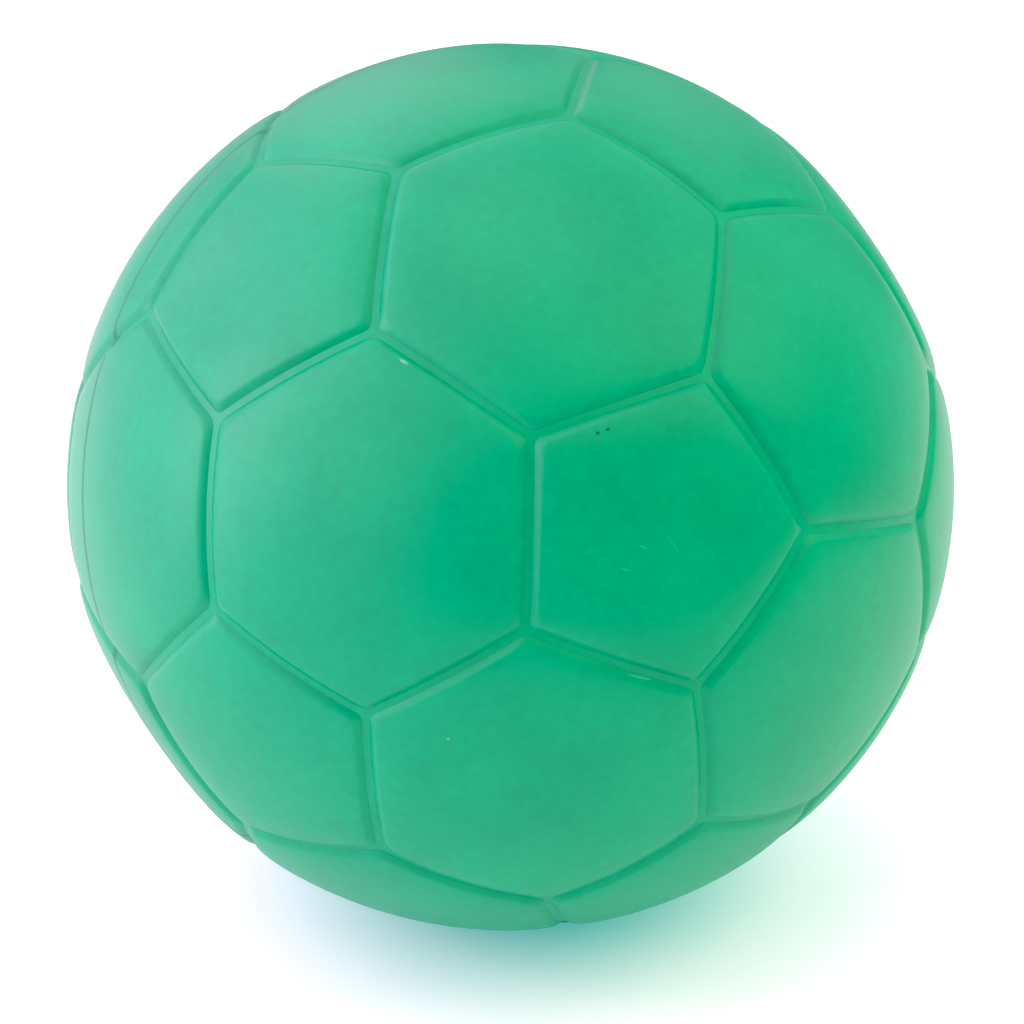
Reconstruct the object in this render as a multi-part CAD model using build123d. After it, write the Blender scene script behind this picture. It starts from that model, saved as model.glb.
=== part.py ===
"""Playground rubber ball with a 32-panel cover, one solid for each piece.

Frame: millimetres, origin at the ball's centre, +Z up, floor under the ball.
Build-up from the outside: 12 pentagon and 20 hexagon cover panels of cellular rubber,
the carcass ply that they are bonded to, the nylon winding, the butyl bladder, and the
valve, which is a housing bonded inside the bladder and a self-sealing plug pressed into it.
"""

import os
from math import atan, cos, pi, radians, sin, sqrt, tan

from build123d import *

# Ball
BALL_RADIUS = 108.0  # to the crown of each panel, an 8.5 inch ball
PANEL_EDGE_RADIUS = 107.4  # where a panel's dome would meet the middle of a seam
CHANNEL_FLOOR_RADIUS = 106.4  # outside of the carcass, seen as the floor of the channels
CHANNEL_WIDTH = 3.6
PANEL_CORNER_RADIUS = 1.4
PANEL_SHOULDER_RADIUS = 0.8

# Layers under the cover
CARCASS_THICKNESS = 0.7
WINDING_THICKNESS = 0.4
BLADDER_THICKNESS = 0.7

# Valve, measured along its own axis from the ball's centre
VALVE_HEXAGON = 18  # number of the hexagon that the valve passes through
NEEDLE_BORE_RADIUS = 1.05  # for the usual 2 mm inflating needle
NEEDLE_BORE_LENGTH = 7.4
NEEDLE_FUNNEL_DEPTH = 0.7
NEEDLE_FUNNEL_RADIUS = 1.7
VALVE_FACE = 107.6  # outer end of the valve, just under the panel's crown
HOUSING_RADIUS = 4.5
HOUSING_END = 90.0
HOUSING_RIM_FILLET = 0.4
FLANGE_RADIUS = 12.0
FLANGE_THICKNESS = 1.2
PLUG_RADIUS = 2.3
PLUG_HEAD_RADIUS = 3.0
PLUG_HEAD_THICKNESS = 1.2
PLUG_BARB_RADIUS = 3.1
PLUG_BARB_LENGTH = 4.0
PLUG_BARB_LIP = 1.0
PLUG_END_RADIUS = 1.6
VALVE_HOLE_FILLET = 0.5

CUTTER_REACH = 30.0  # how far a cutting shape reaches past what it cuts

# How the ball happens to lie: turns of the panel pattern about X, then Y, then Z, in degrees
ATTITUDE = Rotation(52.6, -7.0, -125.6)

# Truncated icosahedron with edge 2, which sets where the seams run
PHI = (1 + sqrt(5)) / 2
SEAM_EDGE = 2.0
SEAM_CORNER_RADIUS = sqrt(9 * PHI + 10)

CARCASS_INSIDE = CHANNEL_FLOOR_RADIUS - CARCASS_THICKNESS
WINDING_INSIDE = CARCASS_INSIDE - WINDING_THICKNESS
BLADDER_INSIDE = WINDING_INSIDE - BLADDER_THICKNESS


def pentagon_directions():
    """The 12 pentagon centres: the corners of an icosahedron."""
    found = []
    for a in (1, -1):
        for b in (PHI, -PHI):
            found += [Vector(0, a, b), Vector(a, b, 0), Vector(b, 0, a)]
    return [v.normalized() for v in found]


def hexagon_directions():
    """The 20 hexagon centres: the corners of the dodecahedron dual to it."""
    found = [Vector(x, y, z) for x in (1, -1) for y in (1, -1) for z in (1, -1)]
    for a in (PHI, -PHI):
        for b in (1 / PHI, -1 / PHI):
            found += [Vector(0, a, b), Vector(a, b, 0), Vector(b, 0, a)]
    return [v.normalized() for v in found]


def panel_place(centre, sides):
    """Where a panel made about +Z goes, with its own X turned towards a pentagon."""
    others = sorted(pentagon_directions(), key=lambda v: -v.dot(centre))
    towards = others[1] if sides == 5 else others[0]
    x_dir = towards - centre * towards.dot(centre)
    return ATTITUDE * Plane(origin=(0, 0, 0), x_dir=x_dir, z_dir=centre).location


def ball(radius):
    """A sphere turned so that its poles and seam line stay clear of +Z."""
    return Rot(0, 90, 0) * Sphere(radius)


def seam_angle(sides):
    """Angle at the ball's centre from a panel's axis to the middle of one of its seams."""
    corner = SEAM_EDGE / (2 * sin(pi / sides))
    middle = SEAM_EDGE / (2 * tan(pi / sides))
    return atan(middle / sqrt(SEAM_CORNER_RADIUS**2 - corner**2))


def dome(sides):
    """The sphere that a panel's outer face lies on, pillowed a little more than the ball."""
    drop = BALL_RADIUS - PANEL_EDGE_RADIUS * cos(seam_angle(sides))
    offset = (BALL_RADIUS**2 - PANEL_EDGE_RADIUS**2) / (2 * drop)
    return Pos(0, 0, offset) * ball(BALL_RADIUS - offset)


def wedge(sides):
    """Pyramid between a panel's channels; its walls are parallel to the seams' planes."""
    angle = seam_angle(sides)
    apex = CHANNEL_WIDTH / 2 / sin(angle)
    height = BALL_RADIUS + CUTTER_REACH
    corner = (height - apex) * tan(angle) / cos(pi / sides)
    first = 0 if sides == 5 else 180 / sides
    turns = [radians(first + 360 * i / sides) for i in range(sides)]
    top = [Vector(corner * cos(t), corner * sin(t), height) for t in turns]
    tip = Vector(0, 0, apex)
    outlines = [[tip, a, b] for a, b in zip(top, top[1:] + top[:1])] + [top]
    return Solid(Shell([Face(Wire.make_polygon(points)) for points in outlines]))


def panel(sides):
    """A cover panel about +Z: domed outside, rounded at its edges, fitted to the carcass."""
    solid = (wedge(sides) & dome(sides)) - ball(CHANNEL_FLOOR_RADIUS)
    solid = fillet(solid.edges().filter_by(GeomType.LINE), PANEL_CORNER_RADIUS)
    crown = solid.faces().sort_by(Axis.Z)[-1]
    return fillet(crown.edges(), PANEL_SHOULDER_RADIUS)


def valve_panel():
    """The hexagon panel with the hole that the valve housing comes through."""
    solid = panel(6) - Pos(0, 0, BALL_RADIUS) * Cylinder(HOUSING_RADIUS, CUTTER_REACH)
    rims = solid.edges().filter_by(GeomType.CIRCLE).filter_by(
        lambda edge: abs(edge.radius - HOUSING_RADIUS) < 1e-3
    )
    return fillet(rims.sort_by(Axis.Z)[-1], VALVE_HOLE_FILLET)


def layer(outside, inside):
    """A closed spherical layer with a hole on +Z for the valve housing."""
    hole = Pos(0, 0, outside) * Cylinder(HOUSING_RADIUS, CUTTER_REACH)
    return ball(outside) - ball(inside) - hole


def valve_housing():
    """Barrel and the flange that is bonded to the inside of the bladder."""
    barrel = Pos(0, 0, HOUSING_END) * Cylinder(
        HOUSING_RADIUS, VALVE_FACE - HOUSING_END, align=(Align.CENTER, Align.CENTER, Align.MIN)
    )
    barrel = fillet(barrel.edges().filter_by(GeomType.CIRCLE), HOUSING_RIM_FILLET)
    disc = Pos(0, 0, BLADDER_INSIDE) * Cylinder(FLANGE_RADIUS, CUTTER_REACH)
    flange = (disc & ball(BLADDER_INSIDE)) - ball(BLADDER_INSIDE - FLANGE_THICKNESS)
    bore = Pos(0, 0, VALVE_FACE) * Cylinder(PLUG_RADIUS, 2 * CUTTER_REACH)
    seat = Pos(0, 0, VALVE_FACE) * Cylinder(PLUG_HEAD_RADIUS, 2 * PLUG_HEAD_THICKNESS)
    return barrel + flange - bore - seat


def valve_plug():
    """Self-sealing plug with a blind needle bore; past it the slit is closed."""
    head = VALVE_FACE - PLUG_HEAD_THICKNESS
    end = HOUSING_END - PLUG_BARB_LENGTH
    funnel = VALVE_FACE - NEEDLE_FUNNEL_DEPTH
    section = [
        (0, end),
        (PLUG_END_RADIUS, end),
        (PLUG_BARB_RADIUS, HOUSING_END - PLUG_BARB_LIP),
        (PLUG_BARB_RADIUS, HOUSING_END),
        (PLUG_RADIUS, HOUSING_END),
        (PLUG_RADIUS, head),
        (PLUG_HEAD_RADIUS, head),
        (PLUG_HEAD_RADIUS, VALVE_FACE),
        (NEEDLE_FUNNEL_RADIUS, VALVE_FACE),
        (NEEDLE_BORE_RADIUS, funnel),
        (NEEDLE_BORE_RADIUS, funnel - NEEDLE_BORE_LENGTH),
        (0, funnel - NEEDLE_BORE_LENGTH),
    ]
    profile = make_face(Plane.XZ * Polyline(section, close=True))
    return revolve(profile, Axis.Z)


def parts():
    """Every piece as {node name: solid}, in the ball's resting attitude."""
    pentagon_places = [panel_place(v, 5) for v in pentagon_directions()]
    hexagon_places = [panel_place(v, 6) for v in hexagon_directions()]
    valve_place = hexagon_places[VALVE_HEXAGON - 1]
    pentagon, hexagon = panel(5), panel(6)
    made = {}
    for number, place in enumerate(pentagon_places, 1):
        made[f"pentagon_panel_{number:02d}"] = place * pentagon
    for number, place in enumerate(hexagon_places, 1):
        shape = valve_panel() if number == VALVE_HEXAGON else hexagon
        made[f"hexagon_panel_{number:02d}"] = place * shape
    made["carcass_ply"] = valve_place * layer(CHANNEL_FLOOR_RADIUS, CARCASS_INSIDE)
    made["nylon_winding"] = valve_place * layer(CARCASS_INSIDE, WINDING_INSIDE)
    made["bladder"] = valve_place * layer(WINDING_INSIDE, BLADDER_INSIDE)
    made["valve_housing"] = valve_place * valve_housing()
    made["valve_plug"] = valve_place * valve_plug()
    return made


os.makedirs("parts", exist_ok=True)
for name, solid in parts().items():
    solid.label = name
    export_step(solid, f"parts/{name}.step")
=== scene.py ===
"""Looks of the playground ball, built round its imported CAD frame. Metres, +Z up."""

from math import cos, exp, pi, radians, sin

import bmesh
import bpy
import numpy as np
from mathutils import Matrix, Vector


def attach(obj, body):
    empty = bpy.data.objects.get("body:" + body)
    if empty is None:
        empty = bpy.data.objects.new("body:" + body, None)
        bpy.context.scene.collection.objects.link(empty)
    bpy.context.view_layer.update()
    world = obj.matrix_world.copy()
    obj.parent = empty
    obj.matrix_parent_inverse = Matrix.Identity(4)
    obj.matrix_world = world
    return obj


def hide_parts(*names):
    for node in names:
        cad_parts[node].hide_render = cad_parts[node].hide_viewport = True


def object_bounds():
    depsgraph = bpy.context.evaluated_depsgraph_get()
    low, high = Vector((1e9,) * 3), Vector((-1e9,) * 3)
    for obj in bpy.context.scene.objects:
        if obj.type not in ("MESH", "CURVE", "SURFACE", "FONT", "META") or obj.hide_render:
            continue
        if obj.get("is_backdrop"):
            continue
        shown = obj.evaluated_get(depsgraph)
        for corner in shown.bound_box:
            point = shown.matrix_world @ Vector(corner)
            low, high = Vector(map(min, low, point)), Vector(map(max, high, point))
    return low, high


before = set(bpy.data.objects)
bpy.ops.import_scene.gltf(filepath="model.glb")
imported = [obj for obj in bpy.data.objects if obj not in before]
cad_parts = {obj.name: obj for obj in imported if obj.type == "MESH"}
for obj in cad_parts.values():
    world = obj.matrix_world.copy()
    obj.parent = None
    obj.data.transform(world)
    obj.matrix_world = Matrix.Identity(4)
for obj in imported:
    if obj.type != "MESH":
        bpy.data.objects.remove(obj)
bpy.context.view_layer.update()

MM = 0.001
BODY = "root"
PHI = (1 + 5**0.5) / 2

# Nodes of the CAD frame
CROWNED_PANEL = "hexagon_panel_01"  # reaches the ball's full radius
VALVE_PANEL = "hexagon_panel_18"


def node_points(node):
    """A CAD node's vertices, one row each."""
    return np.array([v.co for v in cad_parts[node].data.vertices])


def reach(node):
    """Largest distance from the ball's centre to a CAD node's vertices."""
    return float(np.linalg.norm(node_points(node), axis=1).max())


BALL_RADIUS = round(reach(CROWNED_PANEL), 5)
CARCASS_RADIUS = round(reach("carcass_ply"), 5)
WINDING_RADIUS = round(reach("nylon_winding"), 5)
BLADDER_RADIUS = round(reach("bladder"), 5)

# Cover panels and the channels between them; an inset is a distance in from a seam
CHANNEL_HALF_WIDTH = 0.85 * MM
WALL_WIDTH = 1.8 * MM
WALL_CURVE = 1.2
SHOULDER_DROP = 0.85 * MM
SHOULDER_LENGTH = 3.2 * MM
DOME_START = 12.0 * MM
PANEL_SEAT = 0.03 * MM  # how far a panel's underside sinks into the carcass
CORNER_BLEND = 1.6 * MM
CORNER_BLEND_MAX = 9.0 * MM
CORNER_SPREAD = 0.6  # how fast the corners soften with the inset

# Mesh steps
EDGE_STEPS = 30  # along a seam
CLOSE_TO_CORNERS = 0.65  # how closely those steps bunch up at its ends
EDGE_RINGS = 20
RING_BUNCHING = 1.8  # towards the channel's wall
DOME_SHARES = (0.12, 0.25, 0.4, 0.55, 0.7, 0.85)
UNDERSIDE_SHARES = (0.85, 0.5, 0.2)
LAYER_SHARES = [0.3, 0.65]
HOLE_STEPS = 6
WELD_DISTANCE = 0.002 * MM

SAME = 0.01  # most that two cosines differ when they stand for the same angle
PENTAGON_REACH = radians(22)  # holds a pentagon's corners, but no corner of a hexagon
HALVINGS = 40  # of the range that an angle is looked for in

VALVE_HOLE_RADIUS = 4.5 * MM
VALVE_HOLE_ROUND = 0.5 * MM
BLADDER_INSIDE = BLADDER_RADIUS - 0.7 * MM

# The two hexagons at the sides that this ball is flattened at
FLAT_PANELS = ("hexagon_panel_13", "hexagon_panel_16")
FLAT_DEPTH = 2.2 * MM
FLAT_REACH = radians(24)

# The line where the two halves of the mould met
MOULD_AXIS = (22.8, 18.5)  # azimuth and elevation of the axis that the mould opened along
MOULD_LINE_HALF_WIDTH = 0.9 * MM
MOULD_LINE_WANDER = 1.2 * MM
MOULD_LINE_DEPTH = 0.25 * MM

# Colours of the rubber, linear
GREEN = (0.0, 0.3, 0.126)
# the mould line's darker green is painted shade of its groove
MOULD_LINE_PAINTED_SHADE = (0.0, 0.2, 0.085)
FADED = (0.0, 0.2, 0.09)
FAINT = (0.03, 0.38, 0.19)
PALE = (0.1, 0.4, 0.3)
DARK = (0.0, 0.06, 0.03)
CORD = (0.78, 0.77, 0.72)
BUTYL = (0.02, 0.02, 0.022)
VALVE = (0.03, 0.03, 0.032)

# Noise scales per metre
MOTTLE_SCALE = 38
SPECKLE_SCALE = 420
GRAIN_SCALE = 1400
RAGGED_SCALE = 1600
WANDER_SCALE = 24

# Surface of the rubber
GRAIN_DEPTH = 0.05 * MM
SPECKLE_SHARE = 0.7  # of the speckle in the colour, next to the mottling
MOTTLE_LEAST, MOTTLE_MOST = 0.55, 1.15
DARKER, LIGHTER = 0.88, 1.1
GLOSS_SWING = 0.04
SPECULAR = 0.4
MARK_OUTSIDE, MARK_INSIDE = 1.6, 1.1
LINE_OUTSIDE, LINE_INSIDE = 1.5, 0.5  # in half widths of the line
MARK_DEPTH = 4 * MM  # how far a mark reaches through the surface, so that none is cut off

# Marks of use: azimuth, elevation and tilt in degrees, length and width in millimetres
MARKS = [
    (-16.3, 38.8, -27, 2.3, 0.9, PALE),
    (12.0, 30.5, 0, 0.9, 0.8, DARK),
    (13.4, 30.8, 5, 1.2, 0.8, DARK),
    (24.6, 30.4, 0, 1.8, 0.5, FADED),
    (22.0, 29.8, 0, 0.8, 0.7, FADED),
    (32.3, 39.5, 0, 0.9, 0.6, PALE),
    (-7.4, -7.0, 0, 0.8, 0.6, PALE),
    (14.1, 14.2, -25, 3.0, 0.35, FAINT),
    (16.5, 16.6, -28, 3.6, 0.35, FAINT),
    (20.5, 16.2, -60, 6.0, 0.3, FAINT),
    (15.7, 0.3, -22, 7.6, 0.4, FAINT),
]

CAMERA_ELEVATION = 25
CAMERA_LENS = 149.6
SENSOR_WIDTH = 36
BALL_IN_VIEW = (-0.0039, 0.0572, -9.631)  # ball's centre from the camera, in ball radii

SHEET_HALF = 1.1  # of the pale sheet that the ball lies on
FLOOR_COLOR = (0.92, 0.85, 0.87, 1)
FLOOR_GLOW = (0.02, 0.24, 0.26, 1)
BLACK_LEVEL = (0.045, 0, 0)  # the view's darkest reds are cut off

# Lights: a dome of discs, lit by a few wide glows with their power in watts
LIGHT_DISTANCE = 1.5
LIGHT_SIZE = 1.0
LIGHT_LEAST = 0.1
LIGHT_RING = range(-160, 200, 40)
TOP_RING = range(-135, 180, 90)
LIGHT_RINGS = ((12, LIGHT_RING), (40, LIGHT_RING), (68, TOP_RING), (90, (0,)))
GLOW_FOCUS = 5
GLOWS = [  # azimuth, elevation, power in red, green and blue
    (-80, 12, (12.6, 10.3, 13.4)),
    (-20, 65, (2.6, 0.5, 1.3)),
    (-160, 40, (4.2, 2.4, 3.4)),
    (-40, 12, (1.5, 0, 0)),
    (120, 12, (1.5, 2.3, 2.3)),
    (80, 40, (2.4, 4.2, 3.5)),
    (40, 40, (1.3, 1.7, 0.1)),
]
FLOOR_LIGHT = (6.5, 0.5, 2)  # its red whitens the floor and leaves the green rubber alone
FLOOR_LIGHT_FROM = (80, 45)


# ---------------------------------------------------------------- pattern


def unit(v):
    v = np.asarray(v, float)
    return v / np.linalg.norm(v, axis=-1, keepdims=True)


def towards(azimuth, elevation):
    """Direction from the ball. Azimuth 0 is the camera's side, 90 is its right."""
    a, e = radians(azimuth), radians(elevation)
    return Vector((sin(a) * cos(e), -cos(a) * cos(e), sin(e)))


def cyclic(x, y, z):
    return [(x, y, z), (y, z, x), (z, x, y)]


def pentagon_centres():
    found = []
    for a in (1, -1):
        for b in (PHI, -PHI):
            found += cyclic(0, a, b)
    return unit(found)


def hexagon_centres():
    found = [(x, y, z) for x in (1, -1) for y in (1, -1) for z in (1, -1)]
    for a in (PHI, -PHI):
        for b in (1 / PHI, -1 / PHI):
            found += cyclic(0, a, b)
    return unit(found)


def seam_corners():
    """The 60 corners of the truncated icosahedron, each a third of the way along an edge."""
    centres = pentagon_centres()
    near = 1 / 5**0.5
    pairs = [(p, q) for p in centres for q in centres if abs(p @ q - near) < SAME]
    found = [2 * p + q for p, q in pairs]
    return unit(found)


def node_names():
    names = [f"pentagon_panel_{i:02d}" for i in range(1, 13)]
    return names + [f"hexagon_panel_{i:02d}" for i in range(1, 21)]


def ideal_centres():
    return np.vstack([pentagon_centres(), hexagon_centres()])


def attitude():
    """The turn of the pattern: the rotation that best takes its centres to the CAD panels'."""
    placed = unit([node_points(name).mean(axis=0) for name in node_names()])
    u, _, vt = np.linalg.svd(placed.T @ ideal_centres())
    return u @ np.diag([1, 1, np.linalg.det(u @ vt)]) @ vt


class Patch:
    """One panel of the pattern: its axis, its corners and the planes of its seams."""

    def __init__(self, axis, corners):
        self.axis = axis
        sides = 5 if np.count_nonzero(corners @ axis > cos(PENTAGON_REACH)) == 5 else 6
        own = corners[np.argsort(-(corners @ axis))[:sides]]
        start = unit(own[0] - axis * (own[0] @ axis))
        across = np.cross(axis, start)
        turn = np.arctan2(own @ across, own @ start) % (2 * pi)
        own = own[np.argsort(turn.round(6))]
        following = np.roll(own, -1, axis=0)
        self.inward = unit(np.cross(own, following))
        self.seam = np.vstack([arc(a, b) for a, b in zip(own, following)])
        self.rays = unit(self.seam - np.outer(self.seam @ axis, axis))
        self.seam_angle = np.arccos(np.clip(self.seam @ axis, -1, 1))

    def points(self, angle):
        """Directions at these angles from the axis, one along each ray."""
        angle = np.broadcast_to(angle, self.seam_angle.shape)[:, None]
        return np.cos(angle) * self.axis + np.sin(angle) * self.rays

    def inset(self, angle, blend):
        """Distance in from the seams, with the panel's corners rounded by blend."""
        distances = np.sort(BALL_RADIUS * self.points(angle) @ self.inward.T, axis=1)
        first, second = distances[:, 0], distances[:, 1]
        overlap = np.maximum(blend - (second - first), 0)
        return first - overlap**2 / (4 * blend)

    def angle_at(self, level, blend):
        """Angle from the axis, along each ray, at which the inset reaches level."""
        low = np.zeros(len(self.rays))
        high = self.seam_angle.copy()
        for _ in range(HALVINGS):
            middle = (low + high) / 2
            inside = self.inset(middle, blend) > level
            low = np.where(inside, middle, low)
            high = np.where(inside, high, middle)
        return (low + high) / 2


def arc(a, b):
    """Directions from a towards b along a seam, closest together near the corners."""
    t = np.linspace(-1, 1, EDGE_STEPS + 1)[:-1]
    even = (1 - CLOSE_TO_CORNERS) * t
    share = (1 + even + CLOSE_TO_CORNERS * np.sin(pi * t / 2))[:, None] / 2
    span = np.arccos(a @ b)
    return (np.sin((1 - share) * span) * a + np.sin(share * span) * b) / np.sin(span)


def corner_blend(level):
    """Corners are tight at the channel and get softer towards the middle of a panel."""
    spread = CORNER_SPREAD * max(level - CHANNEL_HALF_WIDTH, 0)
    return min(CORNER_BLEND + spread, CORNER_BLEND_MAX)


def flattened(points):
    """Presses points in where this ball is flattened. The CAD frame stays round."""
    directions = unit(points)
    for axis in FLAT_AXES:
        away = np.arccos(np.clip(directions @ axis, -1, 1))
        share = (1 + np.cos(pi * np.minimum(away / FLAT_REACH, 1))) / 2
        points = points - directions * (FLAT_DEPTH * share)[:, None]
    return points


# ---------------------------------------------------------------- meshes


def loft(rings, first_cap=None, last_cap=None):
    """Vertices and faces of closed rings of points, with a fan to each cap point."""
    count = len(rings[0])
    points = np.vstack(rings)
    steps = range(count)
    faces = []
    for row in range(len(rings) - 1):
        base = row * count
        for i in steps:
            j = (i + 1) % count
            faces.append((base + i, base + j, base + count + j, base + count + i))
    if first_cap is not None:
        points = np.vstack([points, first_cap])
        faces += [(len(points) - 1, (i + 1) % count, i) for i in steps]
    if last_cap is not None:
        points = np.vstack([points, last_cap])
        base = (len(rings) - 1) * count
        faces += [(base + i, base + (i + 1) % count, len(points) - 1) for i in steps]
    return points, faces


def bridge(count, last):
    """Faces from the ring that starts at vertex last back to the ring at vertex 0."""
    following = [(i + 1) % count for i in range(count)]
    return [(last + i, last + j, j, i) for i, j in enumerate(following)]


def piece(name, points, faces, slot, material, *nodes):
    """A smooth mesh piece that rides on the ball and stands for CAD nodes."""
    mesh = bpy.data.meshes.new(name)
    mesh.from_pydata(flattened(points).tolist(), [], faces)
    mesh.validate()
    for face in mesh.polygons:
        face.use_smooth = True
    mesh.materials.append(material)
    made = bpy.data.objects.new(name, mesh)
    bpy.context.scene.collection.objects.link(made)
    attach(made, BODY)
    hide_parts(*nodes)
    return made


def cover_radius(level):
    """Radius of a panel's outer face at this inset: the channel's wall, then a shoulder."""
    into = level - CHANNEL_HALF_WIDTH
    drop = SHOULDER_DROP * exp(-into / SHOULDER_LENGTH)
    wall = BALL_RADIUS - SHOULDER_DROP - (CARCASS_RADIUS - PANEL_SEAT)
    return BALL_RADIUS - drop - wall * max(1 - into / WALL_WIDTH, 0) ** WALL_CURVE


def edge_levels():
    """Insets from the dome to the foot of the wall, closest together at the wall."""
    steps = np.linspace(1, 0, EDGE_RINGS)
    return CHANNEL_HALF_WIDTH + (DOME_START - CHANNEL_HALF_WIDTH) * steps**RING_BUNCHING


def panel_rings(patch, hole):
    """Rings of a panel from the middle of its dome, round its edge, to its underside."""
    dome = patch.angle_at(DOME_START, corner_blend(DOME_START))
    inner = hole / BALL_RADIUS if hole else 0
    rings = []
    for share in DOME_SHARES:
        rings.append(patch.points(inner + (dome - inner) * share) * cover_radius(DOME_START))
    for level in edge_levels():
        angle = patch.angle_at(level, corner_blend(level))
        rings.append(patch.points(angle) * cover_radius(level))
    bottom = CARCASS_RADIUS - PANEL_SEAT
    edge = patch.angle_at(CHANNEL_HALF_WIDTH, CORNER_BLEND)
    for share in UNDERSIDE_SHARES:
        rings.append(patch.points(inner + (edge - inner) * share) * bottom)
    return rings


def hole_rings(patch, hole, rounding, top, bottom):
    """Rings up the wall of a round hole and over its rounded rim, bottom first."""
    rings = [patch.points(hole / bottom) * bottom]
    for turn in np.linspace(0, pi / 2, HOLE_STEPS):
        out = hole + rounding * (1 - cos(turn))
        up = top - rounding * (1 - sin(turn))
        rings.append(patch.points(np.arctan2(out, up)) * np.hypot(out, up))
    return rings


def cover_panel(name, patch, material):
    """A panel as one closed mesh; the valve's panel has its hole instead of a middle."""
    bottom = CARCASS_RADIUS - PANEL_SEAT
    if name == VALVE_PANEL:
        top = cover_radius(DOME_START)
        rings = panel_rings(patch, VALVE_HOLE_RADIUS + VALVE_HOLE_ROUND)
        hole = hole_rings(patch, VALVE_HOLE_RADIUS, VALVE_HOLE_ROUND, top, bottom)
        points, faces = loft(rings + hole)
        count = len(patch.rays)
        faces += bridge(count, len(points) - count)
    else:
        rings = panel_rings(patch, 0)
        points, faces = loft(rings, patch.axis * cover_radius(DOME_START), patch.axis * bottom)
    piece("cover_" + name, points, faces, "cover_rubber", material, name)


def skin_rings(patch, outside, inside, hole):
    """Rings of a layer under one panel: outer face from its middle out, inner face back in."""
    edge = patch.angle_at(CHANNEL_HALF_WIDTH, CORNER_BLEND)
    inner = hole / outside if hole else 0
    shares = ([0] if hole else []) + LAYER_SHARES
    rings = [patch.points(inner + (edge - inner) * share) * outside for share in shares]
    rings += [patch.points(edge) * outside, patch.seam * outside]
    under = [patch.seam * inside]
    inner = hole / inside if hole else 0
    for share in reversed(shares):
        angle = inner + (patch.seam_angle - inner) * share
        under.append(patch.points(angle) * inside)
    return rings, under


def layer(name, outside, inside, slot, material):
    """A closed layer of the wall with a hole for the valve, welded from 32 patches."""
    points, faces, base = [], [], 0
    for node, patch in PATCHES.items():
        hole = VALVE_HOLE_RADIUS if node == VALVE_PANEL else 0
        rings, under = skin_rings(patch, outside, inside, hole)
        if hole:
            outer_points, outer_faces = loft(rings)
            inner_points, inner_faces = loft(under)
            last = len(outer_points) + (len(under) - 1) * len(patch.rays)
            outer_faces += bridge(len(patch.rays), last)
        else:
            outer_points, outer_faces = loft(rings, first_cap=patch.axis * outside)
            inner_points, inner_faces = loft(under, last_cap=patch.axis * inside)
        offset = len(outer_points)
        block = outer_faces + [tuple(i + offset for i in face) for face in inner_faces]
        points += [outer_points, inner_points]
        faces += [tuple(i + base for i in face) for face in block]
        base += offset + len(inner_points)
    made = piece(name, np.vstack(points), faces, slot, material, LAYER_NODES[name])
    weld(made)


def weld(made):
    """Joins the patches of a layer along their shared seams."""
    work = bmesh.new()
    work.from_mesh(made.data)
    bmesh.ops.remove_doubles(work, verts=work.verts, dist=WELD_DISTANCE)
    work.to_mesh(made.data)
    work.free()


# ---------------------------------------------------------------- materials


class Shading:
    """A new material with short ways to add the nodes that the rubber needs."""

    def __init__(self, name):
        self.material = bpy.data.materials.new(name)
        self.material.use_nodes = True
        self.shader = self.material.node_tree.nodes["Principled BSDF"]
        self.place = self.add("TexCoord").outputs["Object"]

    def add(self, kind, operation=None, **links):
        """A node with sockets linked into the inputs that are named, or numbered as _0."""
        node = self.material.node_tree.nodes.new("ShaderNode" + kind)
        if operation:
            node.operation = operation
        for name, socket in links.items():
            self.link(socket, node.inputs[int(name[1:]) if name[0] == "_" else name])
        return node

    def link(self, output, socket):
        self.material.node_tree.links.new(output, socket)

    def noise(self, scale, detail=2):
        node = self.add("TexNoise", Vector=self.place)
        node.inputs["Scale"].default_value = scale
        node.inputs["Detail"].default_value = detail
        return node.outputs["Fac"]

    def ranged(self, value, **limits):
        """Value mapped linearly, with limits given as from_min, from_max, to_min or to_max."""
        node = self.add("MapRange", Value=value)
        for limit, number in limits.items():
            node.inputs[limit.replace("_", " ").title()].default_value = number
        return node.outputs["Result"]

    def mixed(self, factor, first, second):
        """A colour mixed from a socket or a constant colour towards a constant colour."""
        node = self.add("Mix")
        node.data_type = "RGBA"
        self.link(factor, node.inputs["Factor"])
        if isinstance(first, bpy.types.NodeSocket):
            self.link(first, node.inputs[6])
        else:
            node.inputs[6].default_value = [*first, 1]
        node.inputs[7].default_value = [*second, 1]
        return node.outputs[2]

    def bumped(self, height, depth):
        """A bump node; its strength, direction and base normal are left to the caller."""
        node = self.add("Bump", Height=height)
        node.inputs["Distance"].default_value = depth
        return node


def marked(shading, azimuth, elevation, tilt, length, width):
    """1 inside a small ragged mark on the ball, 0 outside. Its sizes are in millimetres."""
    out = towards(azimuth, elevation)
    east = Vector((0, 0, 1)).cross(out).normalized()
    flat = Matrix((east, out.cross(east), out)).transposed()
    turned = flat @ Matrix.Rotation(radians(tilt), 3, "Z")
    local = shading.add("Mapping", Vector=shading.place)
    local.vector_type = "TEXTURE"
    local.inputs["Location"].default_value = out * BALL_RADIUS
    local.inputs["Rotation"].default_value = turned.to_euler()
    local.inputs["Scale"].default_value = (length * MM / 2, width * MM / 2, MARK_DEPTH)
    away = shading.add("VectorMath", "LENGTH", _0=local.outputs["Vector"])
    ragged = shading.noise(RAGGED_SCALE)
    edge = shading.add("Math", "ADD", _0=away.outputs["Value"], _1=ragged)
    return shading.ranged(edge.outputs[0], from_min=MARK_OUTSIDE, from_max=MARK_INSIDE)


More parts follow.
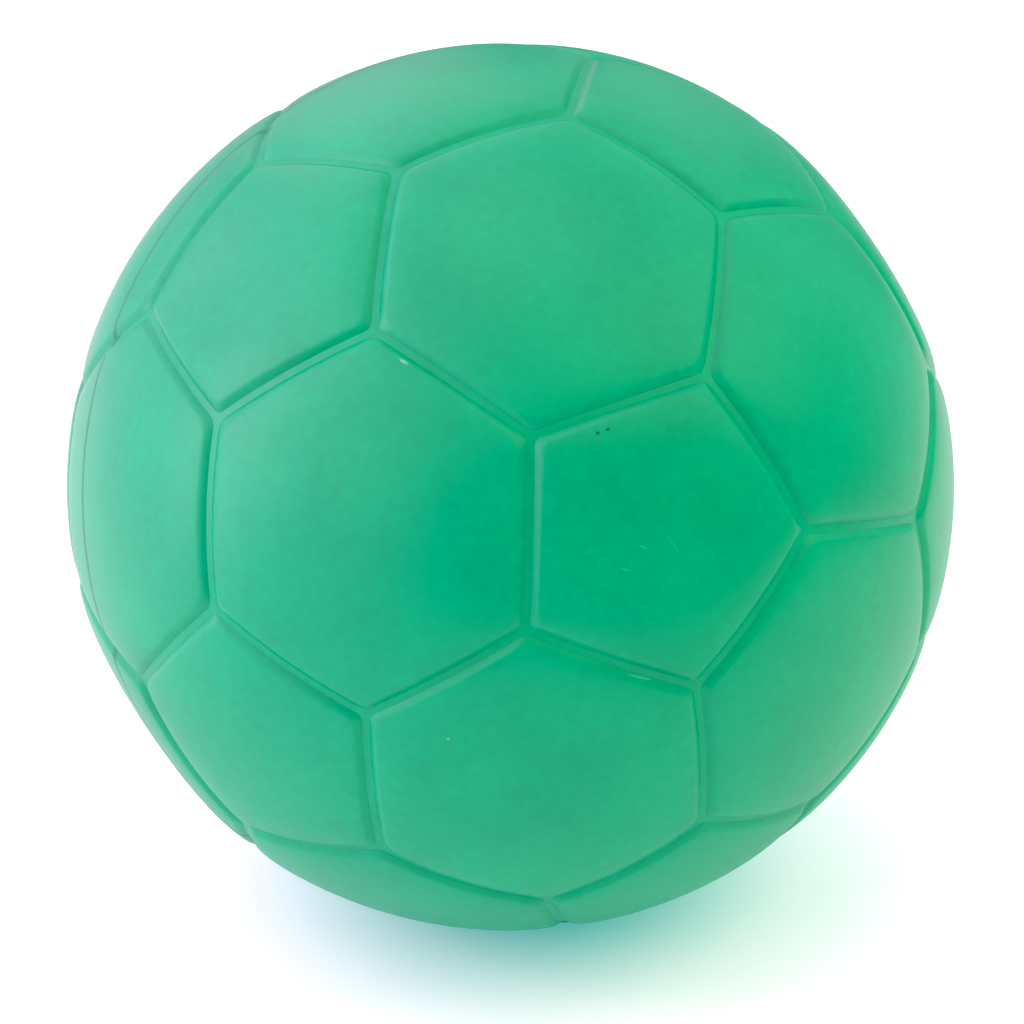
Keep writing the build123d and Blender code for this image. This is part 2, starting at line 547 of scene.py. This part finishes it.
def on_mould_line(shading, half_width):
    """1 on the line where the mould's halves met, 0 off it. It wanders a little."""
    off = shading.add("VectorMath", "DOT_PRODUCT", _0=shading.place)
    off.inputs[1].default_value = towards(*MOULD_AXIS)
    wander = shading.noise(WANDER_SCALE, 5)
    shift = shading.ranged(wander, to_min=-MOULD_LINE_WANDER, to_max=MOULD_LINE_WANDER)
    away = shading.add("Math", "ADD", _0=off.outputs["Value"], _1=shift)
    size = shading.add("Math", "ABSOLUTE", _0=away.outputs[0])
    outside, inside = half_width * LINE_OUTSIDE, half_width * LINE_INSIDE
    return shading.ranged(size.outputs[0], from_min=outside, from_max=inside)


def rubber(name, color, rough, bump, line=0, marks=()):
    """Moulded rubber: mottling, grain, uneven gloss, any mould line and marks from use. The
    mould line's darker colour is painted shade of its groove; its bump is real.
    """
    shading = Shading(name)
    shader = shading.shader
    mottle = shading.noise(MOTTLE_SCALE, 6)
    speckle = shading.noise(SPECKLE_SCALE, 4)
    both = shading.add("Math", "MULTIPLY_ADD", _0=speckle, _2=mottle)
    both.inputs[1].default_value = SPECKLE_SHARE
    amount = shading.ranged(both.outputs[0], from_min=MOTTLE_LEAST, from_max=MOTTLE_MOST)
    low = [c * DARKER for c in color]
    high = [min(c * LIGHTER, 1) for c in color]
    tint = shading.mixed(amount, low, high)
    relief = shading.bumped(shading.noise(GRAIN_SCALE, 3), GRAIN_DEPTH)
    relief.inputs["Strength"].default_value = bump
    if line:
        inside = on_mould_line(shading, line)
        # painted shade: the mould line is darkened where its groove would be shaded
        tint = shading.mixed(inside, tint, MOULD_LINE_PAINTED_SHADE)
        groove = shading.bumped(inside, MOULD_LINE_DEPTH)
        groove.invert = True
        shading.link(relief.outputs["Normal"], groove.inputs["Normal"])
        relief = groove
    for *shape, mark_color in marks:
        tint = shading.mixed(marked(shading, *shape), tint, mark_color)
    gloss = shading.ranged(mottle, to_min=rough - GLOSS_SWING, to_max=rough + GLOSS_SWING)
    shading.link(tint, shader.inputs["Base Color"])
    shading.link(gloss, shader.inputs["Roughness"])
    shading.link(relief.outputs["Normal"], shader.inputs["Normal"])
    shader.inputs["Specular IOR Level"].default_value = SPECULAR
    return shading.material


def paint(node, material):
    """Gives a CAD node that stays its finished material."""
    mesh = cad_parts[node].data
    mesh.materials.clear()
    mesh.materials.append(material)


# ---------------------------------------------------------------- stage


def area_light(name, direction, power):
    """A soft light aimed at the ball, with its power in each of red, green and blue."""
    data = bpy.data.lights.new(name, "AREA")
    data.shape = "DISK"
    data.size = LIGHT_SIZE
    data.energy = max(power)
    data.color = [p / max(power) for p in power]
    light = bpy.data.objects.new(name, data)
    light.location = direction * LIGHT_DISTANCE
    light.rotation_euler = (-direction).to_track_quat("-Z", "Y").to_euler()
    bpy.context.scene.collection.objects.link(light)
    return light


def add_lights():
    """A dome of soft lights whose brightness fades smoothly from the middle of each glow."""
    for elevation, ring in LIGHT_RINGS:
        for azimuth in ring:
            direction = towards(azimuth, elevation)
            power = Vector((0, 0, 0))
            for at, up, color in GLOWS:
                share = exp(GLOW_FOCUS * (direction.dot(towards(at, up)) - 1))
                power += Vector(color) * share
            if max(power) > LIGHT_LEAST:
                area_light(f"light_{azimuth}_{elevation}", direction, power)
    floor_light = area_light("floor_light", towards(*FLOOR_LIGHT_FROM), FLOOR_LIGHT)
    floor_light.visible_glossy = False


def add_floor(height):
    """A pale sheet that ends while it is still lit white, as the backdrop is."""
    mesh = bpy.data.meshes.new("floor")
    half = SHEET_HALF
    corners = [(-half, -half), (half, -half), (half, half), (-half, half)]
    mesh.from_pydata([(x, y, height) for x, y in corners], [], [(0, 1, 2, 3)])
    material = bpy.data.materials.new("floor")
    material.use_nodes = True
    shader = material.node_tree.nodes["Principled BSDF"]
    shader.inputs["Base Color"].default_value = FLOOR_COLOR
    shader.inputs["Roughness"].default_value = 0.9
    shader.inputs["Specular IOR Level"].default_value = 0.0
    shader.inputs["Emission Color"].default_value = FLOOR_GLOW
    shader.inputs["Emission Strength"].default_value = 1.0
    mesh.materials.append(material)
    floor = bpy.data.objects.new("floor", mesh)
    bpy.context.scene.collection.objects.link(floor)
    floor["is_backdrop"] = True


def add_backdrop():
    """White beyond the floor. Only the camera sees it; the light comes from the lamps."""
    world = bpy.data.worlds.new("backdrop")
    world.use_nodes = True
    world.node_tree.nodes["Background"].inputs["Color"].default_value = (1, 1, 1, 1)
    world.cycles_visibility.diffuse = False
    world.cycles_visibility.glossy = False
    bpy.context.scene.world = world


def add_camera():
    data = bpy.data.cameras.new("camera")
    data.sensor_width = SENSOR_WIDTH
    data.lens = CAMERA_LENS
    camera = bpy.data.objects.new("camera", data)
    camera.rotation_euler = (radians(90 - CAMERA_ELEVATION), 0, 0)
    turn = camera.rotation_euler.to_matrix()
    camera.location = -(turn @ (Vector(BALL_IN_VIEW) * BALL_RADIUS))
    bpy.context.scene.collection.objects.link(camera)
    bpy.context.scene.camera = camera


# ---------------------------------------------------------------- build

TURN = attitude()
CENTRES = dict(zip(node_names(), ideal_centres() @ TURN.T))
FLAT_AXES = [CENTRES[name] for name in FLAT_PANELS]
CORNERS = seam_corners() @ TURN.T
PATCHES = {name: Patch(axis, CORNERS) for name, axis in CENTRES.items()}
LAYER_NODES = {"carcass": "carcass_ply", "winding": "nylon_winding", "bladder_wall": "bladder"}

line = MOULD_LINE_HALF_WIDTH
cover = rubber("cover_rubber", GREEN, rough=0.42, bump=0.2, line=line, marks=MARKS)
# in the channels the darkened mould line is twice as wide: painted shade where it crosses them
channel = rubber("channel_rubber", GREEN, rough=0.42, bump=0.2, line=2 * line)
winding = rubber("winding_cord", CORD, rough=0.7, bump=0.2)
butyl = rubber("bladder_butyl", BUTYL, rough=0.4, bump=0.1)
valve = rubber("valve_rubber", VALVE, rough=0.5, bump=0.2)

for name, patch in PATCHES.items():
    cover_panel(name, patch, cover)
layer("carcass", CARCASS_RADIUS, WINDING_RADIUS, "channel_rubber", channel)
layer("winding", WINDING_RADIUS, BLADDER_RADIUS, "winding_cord", winding)
layer("bladder_wall", BLADDER_RADIUS, BLADDER_INSIDE, "bladder_butyl", butyl)
paint("valve_housing", valve)
paint("valve_plug", valve)

add_floor(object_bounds()[0].z)
add_camera()
add_backdrop()
add_lights()

view = bpy.context.scene.view_settings
view.view_transform = "Standard"
view.use_curve_mapping = True
view.curve_mapping.black_level = BLACK_LEVEL
view.curve_mapping.update()
